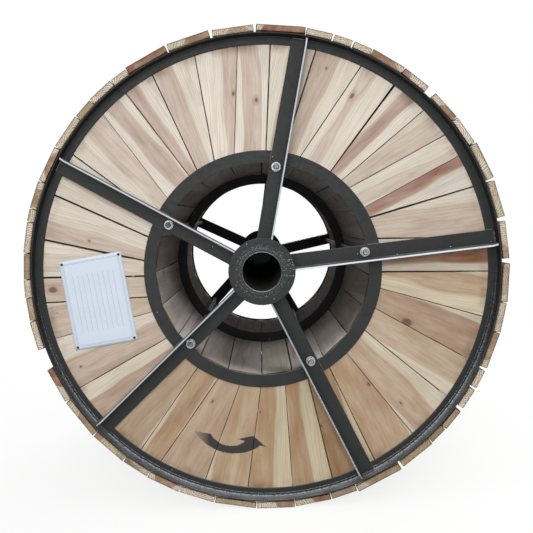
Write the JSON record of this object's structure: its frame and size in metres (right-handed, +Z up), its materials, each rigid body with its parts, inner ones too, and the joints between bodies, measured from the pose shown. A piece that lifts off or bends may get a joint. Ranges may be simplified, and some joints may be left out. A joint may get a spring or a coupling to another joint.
{
  "type": "steel-framed wooden cable drum",
  "caption": "Lagged wooden cable drum with angle-iron spokes and rims, boarded flanges, a stave barrel and a through pipe for the spindle.",
  "frame": {"origin": "middle of the spindle bore, half way across the drum's width", "axes": "+Y along the spindle bore from the front flange to the back one, +Z up as the drum stands on its lagging"},
  "size_m": [1.5509, 1.032, 1.5491],
  "materials": {
    "painted_steel": "brush-painted dark grey, bare at the toes of the spokes",
    "plated_steel": "dull zinc plating",
    "strap_steel": "oiled blue-grey strapping steel",
    "flange_wood": "sawn softwood, pale sapwood and pink-brown heartwood",
    "stave_wood": "sawn softwood, greyed",
    "lagging_wood": "sawn softwood, raw"
  },
  "bodies": {
    "root": {"front_rim": "painted_steel", "front_inner_ring": "painted_steel", "front_hub_disc": "painted_steel", "back_rim": "painted_steel", "back_inner_ring": "painted_steel", "back_hub_disc": "painted_steel", "front_spoke_1": "painted_steel", "front_spoke_2": "painted_steel", "front_spoke_3": "painted_steel", "front_spoke_4": "painted_steel", "front_spoke_5": "painted_steel", "back_spoke_1": "painted_steel", "back_spoke_2": "painted_steel", "back_spoke_3": "painted_steel", "back_spoke_4": "painted_steel", "back_spoke_5": "painted_steel", "spindle_pipe": "painted_steel", "middle_hoop": "painted_steel", "tie_rod_1": "painted_steel", "tie_rod_2": "painted_steel", "tie_rod_3": "painted_steel", "tie_rod_4": "painted_steel", "tie_rod_5": "painted_steel", "front_washers": "plated_steel", "front_nuts": "plated_steel", "back_washers": "plated_steel", "back_nuts": "plated_steel", "front_strap": "strap_steel", "back_strap": "strap_steel", "strap_seals": "strap_steel", "front_flange_planks": "flange_wood", "back_flange_planks": "flange_wood", "barrel_staves": "stave_wood", "lagging_boards": "lagging_wood"}
  },
  "joints": []
}
